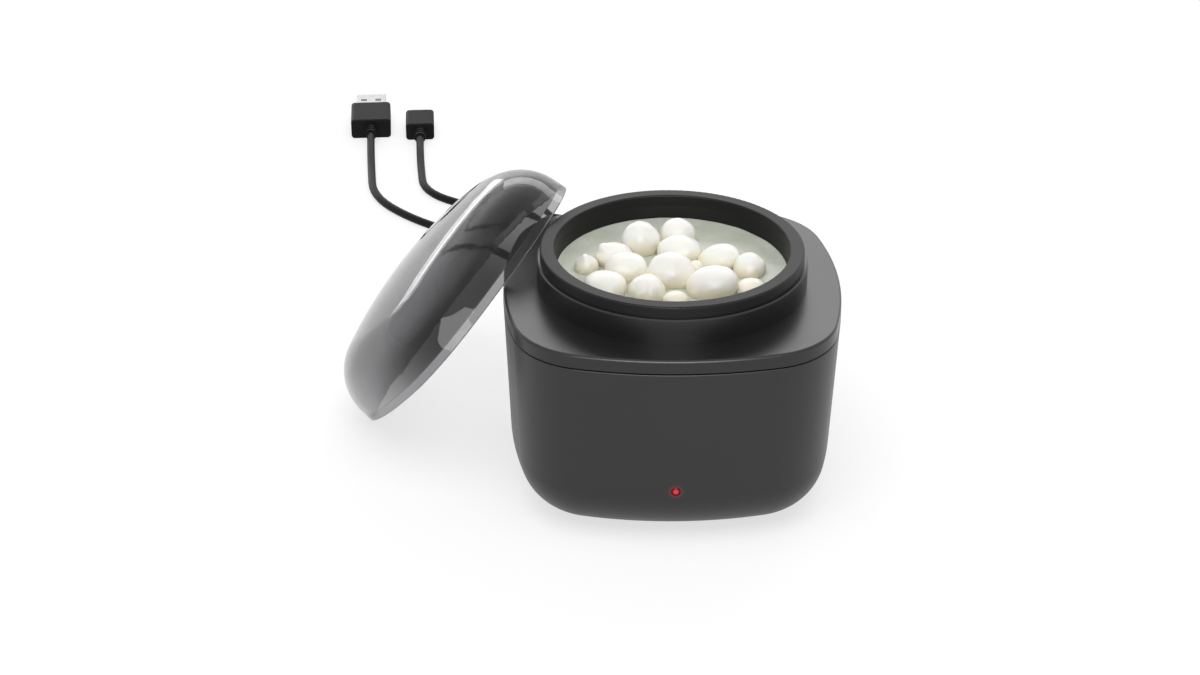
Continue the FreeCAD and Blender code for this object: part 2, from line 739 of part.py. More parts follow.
# USB-A plug: moulded grip, strain relief, folded shell, insulating tongue and contacts
a_axis = a_mould_height / 2
a_shell_end = a_mould_length + a_shell_length
half_w = a_shell_width / 2
half_h = a_shell_height / 2
shell = block(-half_w, half_w, a_mould_length, a_shell_end, -half_h, half_h)
shell = shell.makeFillet(a_shell_sheet, [e for e in shell.Edges if e.BoundBox.YLength > a_shell_length - 1e-3])
shell = shell.cut(block(-half_w + a_shell_sheet, half_w - a_shell_sheet, a_mould_length, a_shell_end,
                        -half_h + a_shell_sheet, half_h - a_shell_sheet))
window_y = a_mould_length + a_window_from_mould
for side in (-1, 1):
    x = side * a_window_offset
    shell = shell.cut(block(x - a_window_width / 2, x + a_window_width / 2, window_y,
                            window_y + a_window_length, -half_h - 1, half_h + 1))
a_tongue_low = -half_h + a_shell_sheet
a_tongue_top = a_tongue_low + a_tongue_height
a_tongue = block(-half_w + a_shell_sheet, half_w - a_shell_sheet, a_mould_length, a_shell_end - a_shell_sheet,
                 a_tongue_low, a_tongue_top)
contacts = []
for count in range(4):
    x = (count - 1.5) * a_contact_pitch
    contacts.append(block(x - a_contact_width / 2, x + a_contact_width / 2, a_mould_length,
                          a_mould_length + a_contact_length, a_tongue_top, a_tongue_top + a_contact_height))
for node, shape in (("usb_a_overmould", overmould(a_mould_width, a_mould_height, a_mould_length)),
                    ("usb_a_strain_relief", strain_relief()), ("usb_a_shell", shell),
                    ("usb_a_tongue", a_tongue), ("usb_a_contacts", Part.makeCompound(contacts))):
    save(laid_down(shape, a_plug_place, a_plug_heading, a_axis), node)

# Micro USB plug: moulded grip, strain relief, folded shell and contact tongue
m_axis = m_mould_height / 2
m_end = m_mould_length + m_shell_length


def micro_section(grow, length):
    half = m_shell_width / 2 - grow
    low = -m_shell_height / 2 + grow
    high = m_shell_height / 2 - grow
    bevel = m_shell_chamfer
    points = [(-half + bevel, low), (half - bevel, low), (half, low + bevel), (half, high), (-half, high),
              (-half, low + bevel), (-half + bevel, low)]
    outline = Part.makePolygon([Vec(x, m_mould_length, z) for x, z in points])
    return Part.Face(outline).extrude(Vec(0, length, 0))


m_shell = micro_section(0, m_shell_length).cut(micro_section(m_shell_sheet, m_shell_length))
m_tongue_half = m_shell_width / 2 - m_shell_sheet - m_shell_chamfer
m_tongue_low = -m_shell_height / 2 + m_shell_sheet
m_tongue = block(-m_tongue_half, m_tongue_half, m_mould_length, m_end - m_shell_sheet, m_tongue_low,
                 m_tongue_low + m_tongue_height)
for node, shape in (("micro_usb_overmould", overmould(m_mould_width, m_mould_height, m_mould_length)),
                    ("micro_usb_strain_relief", strain_relief()), ("micro_usb_shell", m_shell),
                    ("micro_usb_tongue", m_tongue)):
    save(laid_down(shape, m_plug_place, m_plug_heading, m_axis), node)

# Coil: spirals in on the lower layer, climbs in one half turn, spirals out on the upper layer
coil_turn = FreeCAD.Rotation(UP, coil_heading)
coil_pitch = 2 * cord_radius + coil_gap
low_layer = tie_thickness + tie_slack + cord_radius
high_layer = low_layer + coil_pitch
lead_out = 2 * cord_radius


def coil_point(x, y, z):
    return coil_centre + coil_turn.multVec(Vec(x, y, z))


def half_turn(x0, x1, sense, z):
    """Two quarter arcs from one side of the coil to the other."""
    middle = (x0 + x1) / 2
    radius = abs(x1 - x0) / 2
    crest = coil_point(middle, sense * radius, z)
    return [tangent_arc(coil_point(x0, 0, z), coil_point(x0, sense * radius, z), crest),
            tangent_arc(crest, coil_point(x1, sense * radius, z), coil_point(x1, 0, z))]


coil_edges = [Part.LineSegment(coil_point(coil_radius, -lead_out, low_layer),
                               coil_point(coil_radius, 0, low_layer)).toShape()]
x = coil_radius
sense = 1
radius = coil_radius
for count in range(coil_half_turns):
    side = -1 if x > 0 else 1
    after = x + side * 2 * radius
    coil_edges += half_turn(x, after, sense, low_layer)
    x = after
    sense = -sense
    radius -= coil_pitch / 2
side = -1 if x > 0 else 1
after = x + side * 2 * radius
start = coil_point(x, 0, low_layer)
end = coil_point(after, 0, high_layer)
reach = (end - start).Length / 2
forward = coil_turn.multVec(Vec(0, sense, 0))
crest = (start + end) * 0.5 + forward * reach
coil_edges.append(tangent_arc(start, start + forward * reach, crest))
coil_edges.append(tangent_arc(crest, end + forward * reach, end))
x = after
sense = -sense
for count in range(coil_half_turns):
    radius += coil_pitch / 2
    side = -1 if x > 0 else 1
    after = x + side * 2 * radius
    coil_edges += half_turn(x, after, sense, high_layer)
    x = after
    sense = -sense
coil_end_x = x
coil_edges.append(Part.LineSegment(coil_point(x, 0, high_layer),
                                   coil_point(x, sense * lead_out, high_layer)).toShape())
cable_coil = pipe(coil_edges, cord_radius)
save(cable_coil, "cable_coil")

# Free stretches of the cord, from each plug to the coil, laid on the floor
a_turn = FreeCAD.Rotation(UP, a_plug_heading)
m_turn = FreeCAD.Rotation(UP, m_plug_heading)
a_exit = Vec(a_plug_place.x, a_plug_place.y, a_axis) + a_turn.multVec(Vec(0, -relief_length, 0))
m_exit = Vec(m_plug_place.x, m_plug_place.y, m_axis) + m_turn.multVec(Vec(0, -relief_length, 0))
a_route = [
    a_exit,
    a_exit + a_turn.multVec(Vec(0, -exit_run, 0)),
    Vec(-106.3, 213.0, cord_radius),
    Vec(-104.0, 188.0, cord_radius),
    Vec(-88.0, 168.0, cord_radius),
    Vec(-66.0, 153.0, cord_radius),
    Vec(-46.0, 132.0, cord_radius),
    coil_point(coil_radius, -lead_out - coil_run, low_layer),
    coil_point(coil_radius, -lead_out, low_layer),
]
m_route = [
    m_exit,
    m_exit + m_turn.multVec(Vec(0, -exit_run, 0)),
    Vec(-87.2, 214.0, cord_radius),
    Vec(-85.0, 192.0, cord_radius),
    Vec(-66.0, 178.0, cord_radius),
    Vec(-40.0, 172.0, cord_radius),
    Vec(-16.0, 158.0, low_layer),
    coil_point(coil_end_x, sense * (lead_out + coil_run), high_layer),
    coil_point(coil_end_x, sense * lead_out, high_layer),
]
for node, route in (("cable_from_usb_a", a_route), ("cable_from_micro_usb", m_route)):
    tube, radii = wire_rod(route, cord_radius)
    save(tube, node)
    print(node, "least arc radius", round(min(radii), 1), [round(r, 1) for r in radii])
    length = tube.Volume / (math.pi * cord_radius ** 2)
    print(node, "length", round(length, 1))

# Least gap of the coil to itself, measured on points a little apart along its path
points = []
for edge in coil_edges:
    points += edge.discretize(Distance=1.0)[:-1]
step = [0.0]
for a, b in zip(points, points[1:]):
    step.append(step[-1] + (b - a).Length)
apart = 6 * cord_radius
least = min((points[i] - points[j]).Length for i in range(len(points)) for j in range(i)
            if step[i] - step[j] > apart)
print("coil length", round(step[-1], 1), "least self gap", round(least - 2 * cord_radius, 2))

# Cable tie: a flat strap round the bundle of turns
inner_turn = coil_radius - (coil_half_turns - 1) * coil_pitch / 2
tie_inner_y = math.sqrt(inner_turn ** 2 - (tie_width / 2 + coil_pitch) ** 2) - cord_radius - tie_slack
tie_outer_y = coil_radius + cord_radius + tie_slack
tie_top = high_layer + cord_radius + tie_slack
strap = block(-tie_width / 2, tie_width / 2, tie_inner_y - tie_thickness, tie_outer_y + tie_thickness,
              0, tie_top + tie_thickness)
strap = strap.makeFillet(tie_thickness, [e for e in strap.Edges if e.BoundBox.XLength > tie_width - 1e-3])
strap = strap.cut(block(-tie_width, tie_width, tie_inner_y, tie_outer_y, tie_thickness, tie_top))
strap.rotate(Vec(0, 0, 0), UP, coil_heading)
strap.translate(coil_centre)
save(strap, "cable_tie")
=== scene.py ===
import json
import math
import random

import bmesh
import bpy
from mathutils import Matrix, Quaternion, Vector, noise


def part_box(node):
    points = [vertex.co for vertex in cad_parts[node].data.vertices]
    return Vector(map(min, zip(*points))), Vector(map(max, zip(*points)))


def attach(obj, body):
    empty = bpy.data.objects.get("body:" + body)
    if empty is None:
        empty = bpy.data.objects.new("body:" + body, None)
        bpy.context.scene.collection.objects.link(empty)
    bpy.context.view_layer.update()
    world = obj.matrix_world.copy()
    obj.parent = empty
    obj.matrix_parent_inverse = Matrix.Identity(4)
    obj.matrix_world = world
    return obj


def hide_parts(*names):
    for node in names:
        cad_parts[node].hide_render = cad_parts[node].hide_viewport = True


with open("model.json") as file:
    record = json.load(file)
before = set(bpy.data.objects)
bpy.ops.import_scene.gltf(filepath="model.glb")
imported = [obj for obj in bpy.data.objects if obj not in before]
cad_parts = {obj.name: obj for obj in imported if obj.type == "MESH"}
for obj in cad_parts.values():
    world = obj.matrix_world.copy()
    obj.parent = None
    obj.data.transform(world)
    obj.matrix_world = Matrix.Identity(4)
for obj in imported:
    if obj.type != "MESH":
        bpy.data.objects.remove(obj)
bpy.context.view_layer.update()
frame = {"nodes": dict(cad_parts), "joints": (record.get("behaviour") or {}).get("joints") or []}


# Lower housing: an injection-moulded tub in charcoal ABS with a fine spark-eroded skin.
# The deck cover is screwed down on it from below, and a red lamp shines through its front wall; a faint
# red light round it is painted on the wall.
class Signal:
    """An output of a material's nodes. Operators add Math nodes, node() adds any other kind."""

    def __init__(self, socket):
        self.socket = socket
        self.nodes = socket.id_data.nodes
        self.links = socket.id_data.links

    def feed(self, node, inputs):
        """Link signals to a node's sockets, and set its other sockets to plain values."""
        for name, value in inputs.items():
            if isinstance(value, Signal):
                self.links.new(value.socket, node.inputs[name])
            else:
                node.inputs[name].default_value = value

    def node(self, kind, settings, inputs, output=0):
        """An output of a new node, whose settings are made before its sockets are fed."""
        made = self.nodes.new("ShaderNode" + kind)
        for name, value in settings.items():
            if name == "stops":
                ramp = made.color_ramp.elements
                for stop in value[len(ramp):]:
                    ramp.new(stop[0])
                for element, (position, colour) in zip(ramp, value):
                    element.position = position
                    element.color = (*colour, 1)
            else:
                setattr(made, name, value)
        self.feed(made, inputs)
        return Signal(made.outputs[output])

    def math(self, operation, *terms):
        return self.node("Math", {"operation": operation}, dict(enumerate(terms)))

    def __add__(self, other):
        return self.math("ADD", self, other)

    def __radd__(self, other):
        return self.math("ADD", other, self)

    def __sub__(self, other):
        return self.math("SUBTRACT", self, other)

    def __rsub__(self, other):
        return self.math("SUBTRACT", other, self)

    def __mul__(self, other):
        return self.math("MULTIPLY", self, other)

    def __rmul__(self, other):
        return self.math("MULTIPLY", other, self)

    def waves(self, rate):
        """Waves between -1 and 1 along this distance, at a rate in radians per metre."""
        return self.math("SINE", rate * self)

    def step(self, low, high):
        """Smooth rise from 0 at low to 1 at high."""
        return self.node("MapRange", {"interpolation_type": "SMOOTHSTEP"},
                         {"Value": self, "From Min": low, "From Max": high})

    def mix(self, colour_at_0, colour_at_1):
        """Colour between two by this value, on the Mix node's colour sockets: 6, 7 and output 2."""
        ends = [c if isinstance(c, Signal) else (*c, 1) for c in (colour_at_0, colour_at_1)]
        return self.node("Mix", {"data_type": "RGBA"}, {0: self, 6: ends[0], 7: ends[1]}, 2)

    def grain(self, scale, detail=2.0, stretch=(1, 1, 1)):
        """Cloudy noise on this place, as a value about 0.5."""
        spot = self.node("Mapping", {}, {"Vector": self, "Scale": stretch})
        return self.node("TexNoise", {}, {"Vector": spot, "Scale": scale, "Detail": detail})

    def bump(self, depth, strength=1.0):
        return self.node("Bump", {}, {"Height": self, "Distance": depth, "Strength": strength})

    def distance(self, point):
        return self.node("VectorMath", {"operation": "DISTANCE"}, {0: self, 1: point}, 1)

    def reach(self, way):
        """How far this place lies along a direction."""
        return self.node("VectorMath", {"operation": "DOT_PRODUCT"}, {0: self, 1: way}, 1)

    def radius(self):
        """How far this place lies from the pot's upright axis."""
        flat = self.node("VectorMath", {"operation": "MULTIPLY"}, {0: self, 1: (1, 1, 0)})
        return self.node("VectorMath", {"operation": "LENGTH"}, {0: flat}, 1)


def new_finish(name):
    """A material, its Principled shader and the place on the surface."""
    material = bpy.data.materials.new(name)
    material.use_nodes = True
    shader = material.node_tree.nodes["Principled BSDF"]
    place = Signal(material.node_tree.nodes.new("ShaderNodeTexCoord").outputs["Object"])
    return material, shader, place


def shade(tint, share):
    """A tint made deeper or paler."""
    return [share * c for c in tint]


def dress(material, *nodes):
    """Give CAD nodes their finish."""
    for node in nodes:
        frame["nodes"][node].material_slots[0].material = material


lens_low, lens_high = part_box("led_lens")
lamp_centre = Vector((0, lens_low.y, (lens_low.z + lens_high.z) / 2))
# Painted light: the housing wall round the lamp emits a faint red within these radii, as if lit by it.
painted_glow_full_radius = 0.001
painted_glow_last_radius = 0.0028
painted_wall_glow = (0.1, 0.002, 0.003)


def satin_plastic(name, tint, roughness):
    material, shader, place = new_finish(name)
    skin = place.grain(scale=5200, detail=1)
    cloud = place.grain(scale=38, detail=3)
    # Painted light: the wall itself emits faint red round the lamp.
    painted_glow = 1 - place.distance(lamp_centre).step(painted_glow_full_radius, painted_glow_last_radius)
    place.feed(shader, {
        "Base Color": (0.6 * cloud + 0.4 * skin).mix(shade(tint, 0.86), shade(tint, 1.22)),
        "Roughness": roughness - 0.04 + 0.06 * cloud + 0.05 * skin,
        "Normal": skin.bump(depth=0.00002, strength=0.12),
        "Emission Color": painted_glow.mix((0, 0, 0), painted_wall_glow),
        "Emission Strength": 1.0,
        "IOR": 1.5,
    })
    return material


charcoal = (0.0105, 0.0105, 0.0112)
dress(satin_plastic("housing_satin", charcoal, roughness=0.4), "lower_housing")


# Foot ring and screw plugs: soft black silicone, pressed into the groove and the screw holes
# of the base. Dull, with the faint bloom that moulded silicone shows.
def silicone(name, tint):
    material, shader, place = new_finish(name)
    bloom = place.grain(scale=420, detail=4)
    place.feed(shader, {
        "Base Color": bloom.mix(shade(tint, 0.8), shade(tint, 1.5)),
        "Roughness": 0.62 + 0.2 * bloom,
        "Normal": place.grain(scale=2600).bump(depth=0.00003, strength=0.4),
        "Sheen Weight": 0.15,
    })
    return material


dress(silicone("black_silicone", (0.02, 0.02, 0.021)), "foot_ring", "screw_plugs")


# Screws, clamp nut and fuse clip: zinc-plated steel. Screws and nut are turned and then rolled,
# and the clip is bent from strip. Fine rings and a slightly uneven plating break up the shine.
def plated_steel(name, tint, roughness):
    material, shader, place = new_finish(name)
    rings = place.grain(scale=900, stretch=(1, 1, 6))
    place.feed(shader, {
        "Base Color": rings.mix(shade(tint, 0.82), tint),
        "Metallic": 1.0,
        "Roughness": roughness + 0.12 * rings,
        "Normal": rings.bump(depth=0.00001, strength=0.4),
    })
    return material


dress(plated_steel("zinc_plate", (0.62, 0.63, 0.66), roughness=0.28),
      "housing_screws", "flange_screws", "board_screws", "clamp_nut", "fuse_clip")


# Heater well and clamp plate: spun and pressed aluminium, left bare. Spinning leaves fine rings
# about the axis, which show as short streaks.
def spun_aluminium():
    material, shader, place = new_finish("spun_aluminium")
    rings = place.radius().waves(rate=9000)
    streaks = 0.5 + 0.2 * rings + 0.6 * (place.grain(scale=160, detail=4) - 0.5)
    place.feed(shader, {
        "Base Color": streaks.mix((0.66, 0.67, 0.68), (0.82, 0.82, 0.83)),
        "Metallic": 1.0,
        "Roughness": 0.3 + 0.14 * streaks,
        "Normal": rings.bump(depth=0.000008, strength=0.5),
    })
    return material


dress(spun_aluminium(), "heater_well", "clamp_plate")

# Well gasket: a ring cut from brick-red silicone sheet, squeezed between the well's flange and
# the deck by the flange screws. It keeps spilt wax out of the housing.
dress(silicone("gasket_silicone", (0.32, 0.055, 0.03)), "well_gasket")


# Heater film: etched foil track between amber polyimide sheets, stuck under the well.
# The track runs round in rings, and shows darker through the film.
def amber_film():
    material, shader, place = new_finish("amber_film")
    track = place.radius().waves(rate=2400).step(-0.2, 0.2)
    place.feed(shader, {
        "Base Color": track.mix((0.42, 0.17, 0.025), (0.2, 0.085, 0.02)),
        "Roughness": 0.24 + 0.1 * place.grain(scale=300, detail=3),
        "Normal": track.bump(depth=0.00003, strength=0.5),
        "Coat Weight": 0.4,
    })
    return material


dress(amber_film(), "heater_film")


# Felt disc: grey needled aramid felt, punched from sheet and held under the heater film by the
# clamp plate. It keeps the heat in the well, and its fibres lie every way.
def needled_felt():
    material, shader, place = new_finish("needled_felt")
    across = place.grain(scale=1500, detail=4, stretch=(1, 6, 2))
    along = place.grain(scale=1500, detail=4, stretch=(6, 1, 2))
    fibre = 0.5 * across + 0.5 * along
    place.feed(shader, {
        "Base Color": fibre.step(0.3, 0.7).mix((0.17, 0.165, 0.15), (0.42, 0.4, 0.36)),
        "Roughness": 0.95,
        "Normal": fibre.bump(depth=0.0003, strength=0.8),
        "Sheen Weight": 0.3,
    })
    return material


dress(needled_felt(), "felt_disc")


# Sensor, thermal fuse and small parts of the circuit: epoxy, lacquered metal and moulded cases.
# Each is a plain small casting with a mottled skin.
def cast_case(name, deep, pale, roughness, metallic=0.0):
    material, shader, place = new_finish(name)
    mottle = place.grain(scale=700, detail=3)
    place.feed(shader, {
        "Base Color": mottle.mix(deep, pale),
        "Metallic": metallic,
        "Roughness": roughness + 0.15 * mottle,
        "Normal": place.grain(scale=2400).bump(depth=0.00002, strength=0.4),
    })
    return material


dress(cast_case("sensor_epoxy", (0.012, 0.012, 0.014), (0.03, 0.03, 0.034), roughness=0.25),
      "temperature_sensor")
dress(cast_case("fuse_lacquer", (0.45, 0.44, 0.42), (0.66, 0.65, 0.62), roughness=0.3, metallic=1.0),
      "thermal_fuse")
dress(cast_case("component_case", (0.014, 0.014, 0.015), (0.035, 0.035, 0.038), roughness=0.45),
      "board_components")


# Control board: glass-fibre laminate under green solder mask. Copper tracks run below the mask
# and show as slightly paler, raised strips.
def solder_mask():
    material, shader, place = new_finish("solder_mask")
    weave = place.grain(scale=2600)
    cells = place.node("TexVoronoi", {"feature": "DISTANCE_TO_EDGE", "distance": "CHEBYCHEV"},
                       {"Vector": place, "Scale": 260})
    track = 1 - cells.step(0.1, 0.14)
    place.feed(shader, {
        "Base Color": track.mix((0.008, 0.085, 0.03), (0.016, 0.15, 0.05)),
        "Roughness": 0.3 + 0.15 * weave,
        "Normal": (track + 0.2 * weave).bump(depth=0.00003, strength=0.6),
    })
    return material


dress(solder_mask(), "control_board")

# Heater and sensor wires: stranded copper in pale silicone sleeves that stand the heat. They are
# soldered to the board at one end, and to the heater film or the sensor at the other.
dress(silicone("wire_sleeve", (0.5, 0.48, 0.44)), "heater_leads", "sensor_leads")

# Micro USB inlet: a folded shell of nickel-plated steel, soldered to the board behind a slot
# in the back wall.
dress(plated_steel("nickel_plate", (0.72, 0.71, 0.69), roughness=0.2), "usb_socket")


# Indicator lamp and its lens: a red light-emitting diode on the board, behind a small clear-red
# lens that is pushed through the front wall from inside and held by its flange.
def spin_profile(profile, steps, last_run_cuts=0):
    """A closed solid turned about Z from (radius, height) pairs that start and end on the axis."""
    merge_distance = 1e-7
    form = bmesh.new()
    verts = [form.verts.new((radius, 0, height)) for radius, height in profile]
    runs = [form.edges.new(pair) for pair in zip(verts, verts[1:])]
    if last_run_cuts:
        bmesh.ops.subdivide_edges(form, edges=runs[-1:], cuts=last_run_cuts)
    bmesh.ops.spin(form, geom=list(form.verts) + list(form.edges), cent=(0, 0, 0), axis=(0, 0, 1),
                   angle=2 * math.pi, steps=steps, use_merge=True)
    bmesh.ops.remove_doubles(form, verts=form.verts, dist=merge_distance)
    bmesh.ops.recalc_face_normals(form, faces=form.faces)
    return form


def finish_piece(form, name, material, body, slot, *nodes, smooth_angle=40):
    """Turn a bmesh into a piece that rides on a body and stands for CAD nodes."""
    for face in form.faces:
        face.smooth = True
    for edge in form.edges:
        if len(edge.link_faces) == 2 and edge.calc_face_angle() > math.radians(smooth_angle):
            edge.smooth = False
    mesh = bpy.data.meshes.new(name)
    form.to_mesh(mesh)
    form.free()
    mesh.materials.append(material)
    piece = bpy.data.objects.new(name, mesh)
    bpy.context.scene.collection.objects.link(piece)
    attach(piece, body)
    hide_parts(*nodes)
    return piece


def lit_lens():
    material, shader, place = new_finish("lit_lens")
    lit_radius = 0.0013
    spread = place.distance(lamp_centre) * (1 / lit_radius)
    heat = spread.node("ValToRGB", {"stops": [(0.0, (0.55, 0.02, 0.03)), (0.22, (0.75, 0.06, 0.08)),
                                              (0.5, (0.6, 0.03, 0.05)), (0.7, (0.14, 0.0, 0.002)),
                                              (1.0, (0.1, 0.0, 0.001))]}, {0: spread})
    place.feed(shader, {
        "Base Color": place.grain(scale=900).mix((0.03, 0.001, 0.002), (0.05, 0.002, 0.003)),
        "Emission Color": heat,
        "Emission Strength": 1.0,
        "Roughness": 0.12 + 0.08 * place.grain(scale=1500),
        "Specular IOR Level": 0.2,
    })
    return material


lens_length = lens_high.y - lens_low.y
flange_radius = (lens_high.x - lens_low.x) / 2
flange_thickness = 0.0008
barrel_radius = 0.0012
crown_rise = 0.0003
crown_steps = 6
lens_outline = [(0, 0), (flange_radius, 0), (flange_radius, flange_thickness),
                (barrel_radius, flange_thickness)]
for count in range(crown_steps):
    climb = math.radians(90) * count / crown_steps
    lens_outline.append((barrel_radius * math.cos(climb),
                         lens_length - crown_rise + crown_rise * math.sin(climb)))
lens_outline.append((0, lens_length))
lens = spin_profile(lens_outline, steps=48)
to_the_front = Matrix.Rotation(math.radians(90), 4, "X")
lens.transform(Matrix.Translation((0, lens_high.y, lamp_centre.z)) @ to_the_front)
red_lens = lit_lens()
finish_piece(lens, "led_lens_domed", red_lens, "base", "lamp_red", "led_lens")
dress(red_lens, "indicator_led")

# Top deck: the cover moulding, in charcoal ABS a shade deeper and smoother than the housing's.
# Plate, lip and collar are one piece, and the collar carries the loose pot by its rim.
deck_charcoal = shade(charcoal, 0.7)
dress(satin_plastic("deck_satin", deck_charcoal, roughness=0.3), "top_deck")


# Inner pot: pressed aluminium with a baked dark-grey coating, finely grained like enamel.
# It hangs by its flat ring rim and lifts straight out.
def baked_coating():
    material, shader, place = new_finish("baked_coating")
    peel = place.grain(scale=1900)
    fleck = place.grain(scale=6200, detail=1)
    place.feed(shader, {
        "Base Color": (0.5 * peel + 0.5 * fleck).mix((0.003, 0.003, 0.0032), (0.0068, 0.0068, 0.007)),
        "Roughness": 0.42 + 0.1 * fleck,
        "Normal": (peel + 0.6 * fleck).bump(depth=0.000025, strength=0.18),
        "Specular IOR Level": 0.27,
    })
    return material


dress(baked_coating(), "inner_pot")

# Melted wax: milky depilatory wax, half set. It climbs the bowl's wall and each bead a little,
# and its skin is drawn into shallow ripples.
wax_low, wax_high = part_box("wax_pool")
wax_level = wax_high.z
wax_radius = wax_high.x
# Each bead's place, lift above the wax, half width, depth and height, roll in degrees, and form
beads = [((-0.0090, 0.0128), 0.0026, (0.0059, 0.0056, 0.0064), 0, "egg"),
         ((0.0024, 0.0178), 0.0020, (0.0055, 0.0054, 0.0056), 0, "egg"),
         ((0.0025, 0.0076), 0.0022, (0.0068, 0.0058, 0.0049), 0, "plain"),
         ((-0.0170, 0.0044), 0.0020, (0.0058, 0.0050, 0.0044), 8, "nub"),
         ((-0.0254, -0.0006), 0.0013, (0.0037, 0.0035, 0.0036), 34, "nub"),
         ((-0.0135, -0.0041), 0.0022, (0.0063, 0.0057, 0.0053), 4, "plain"),
         ((-0.0006, -0.0074), 0.0026, (0.0070, 0.0062, 0.0060), 0, "tooth"),
         ((0.0142, 0.0029), 0.0020, (0.0066, 0.0054, 0.0044), -17, "plain"),
         ((0.0227, -0.0027), 0.0018, (0.0049, 0.0049, 0.0046), 0, "plain"),
         ((0.0111, -0.0143), 0.0024, (0.0077, 0.0064, 0.0055), -12, "plain"),
         ((-0.0080, -0.0172), 0.0019, (0.0053, 0.0051, 0.0049), 8, "ribbed"),
         ((-0.0202, -0.0146), 0.0018, (0.0064, 0.0060, 0.0046), 0, "plain"),
         ((0.0002, -0.0206), 0.0004, (0.0038, 0.0036, 0.0029), 0, "plain"),
         ((0.0226, -0.0136), 0.0004, (0.0047, 0.0045, 0.0032), 0, "ribbed"),
         ((0.0070, -0.0016), 0.0011, (0.0024, 0.0024, 0.0028), 0, "plain")]


def gap_to_bead(flat, bead):
    """Distance in plan from a point to where a bead's skin meets the wax."""
    centre, lift, (width, depth, height), *_ = bead
    waterline = math.sqrt(1 - (lift / height) ** 2)
    offset = flat - Vector(centre)
    reach = math.hypot(offset.x / (width * waterline), offset.y / (depth * waterline))
    return (reach - 1) * waterline * min(width, depth)


def milky_wax():
    material, shader, place = new_finish("milky_wax")
    swirl = place.grain(scale=120, detail=3)
    skin = place.grain(scale=700, detail=3)
    cloud = (0.7 * swirl + 0.3 * skin).step(0.3, 0.7)
    place.feed(shader, {
        "Base Color": cloud.mix((0.49, 0.515, 0.43), (0.59, 0.615, 0.53)),
        "Roughness": 0.26 + 0.16 * skin,
        "Normal": (swirl + 0.3 * skin).bump(depth=0.0002, strength=0.3),
        "Subsurface Weight": 0.35,
        "Subsurface Radius": (1.0, 0.9, 0.7),
        "Subsurface Scale": 0.003,
        "IOR": 1.44,
    })
    return material


pool_taper = 0.0105
pool_floor_radius = wax_radius - pool_taper
pool_round = 0.0065
round_middle_out = 0.7 * pool_round
round_middle_up = 0.0019
pool_outline = [(0, wax_low.z), (pool_floor_radius, wax_low.z),
                (pool_floor_radius + round_middle_out, wax_low.z + round_middle_up),
                (pool_floor_radius + pool_round, wax_low.z + pool_round),
                (wax_radius, wax_level), (0, wax_level)]
pool = spin_profile(pool_outline, steps=220, last_run_cuts=110)
wall_climb = 0.0006
wall_climb_width = 0.0012
bead_climb = 0.0005
bead_climb_width = 0.0009
ripple_height = 0.00012
ripples_per_metre = 210
level_tolerance = 1e-6
for vert in pool.verts:
    if vert.co.z > wax_level - level_tolerance:
        flat = vert.co.xy
        gap = min(gap_to_bead(flat, bead) for bead in beads)
        vert.co.z += bead_climb * math.exp(-max(gap, 0) / bead_climb_width)
        vert.co.z += wall_climb * math.exp((flat.length - wax_radius) / wall_climb_width)
        vert.co.z += ripple_height * noise.noise(vert.co * ripples_per_metre)
finish_piece(pool, "wax_pool_skin", milky_wax(), "pot", "wax_melt", "wax_pool")


# Wax beads: pellets of the same wax, still melting. Each is slumped and lumpy, some with a nub
# or ribs from casting, half sunk and glossy on top, and painted darker and warmer low down, as painted
# shade.
def ivory_wax():
    material, shader, place = new_finish("ivory_wax")
    # Painted shade: each bead is darker and warmer towards the wax it sits in.
    painted_shade_height = 0.006
    height = place.reach((0, 0, 1)).step(wax_level, wax_level + painted_shade_height)
    marble = place.grain(scale=260, detail=3)
    tone = height.mix((0.89, 0.8, 0.6), (0.95, 0.935, 0.885))
    place.feed(shader, {
        "Base Color": (0.4 * marble.step(0.35, 0.75)).mix(tone, (0.94, 0.92, 0.855)),
        "Roughness": 0.28 + 0.14 * marble,
        "Normal": place.grain(scale=420).bump(depth=0.0002, strength=0.2),
        "Subsurface Weight": 0.5,
        "Subsurface Radius": (1.0, 0.75, 0.45),
        "Subsurface Scale": 0.003,
        "IOR": 1.45,
    })
    return material


egg_rise = 0.1
egg_blunting = 0.4
nub_rise = 0.3
nub_spread = 0.32
nub_way = Vector((-0.62, -0.2, 0.76)).normalized()
tooth_flare = 0.2
tooth_flare_level = -0.25
tooth_flare_spread = 0.3
tooth_crown = 0.05
rib_count = 9
rib_rise = 0.08
rib_valley = -0.03


def bead_relief(form, way):
    """How far a bead's skin stands out from its ellipsoid, as a share of its size."""
    if form == "egg":
        return egg_rise * way.z * (1 - egg_blunting * way.z)
    if form == "nub":
        return nub_rise * math.exp(-(way.angle(nub_way) / nub_spread) ** 2)
    if form == "tooth":
        flare = math.exp(-((way.z - tooth_flare_level) / tooth_flare_spread) ** 2)
        return tooth_flare * flare * way.x ** 2 + tooth_crown * max(way.z, 0)
    if form == "ribbed":
        rib = abs(math.cos(rib_count / 2 * math.atan2(way.y, way.x)))
        return rib_rise * rib * (1 - way.z ** 2) + rib_valley
    return 0.0


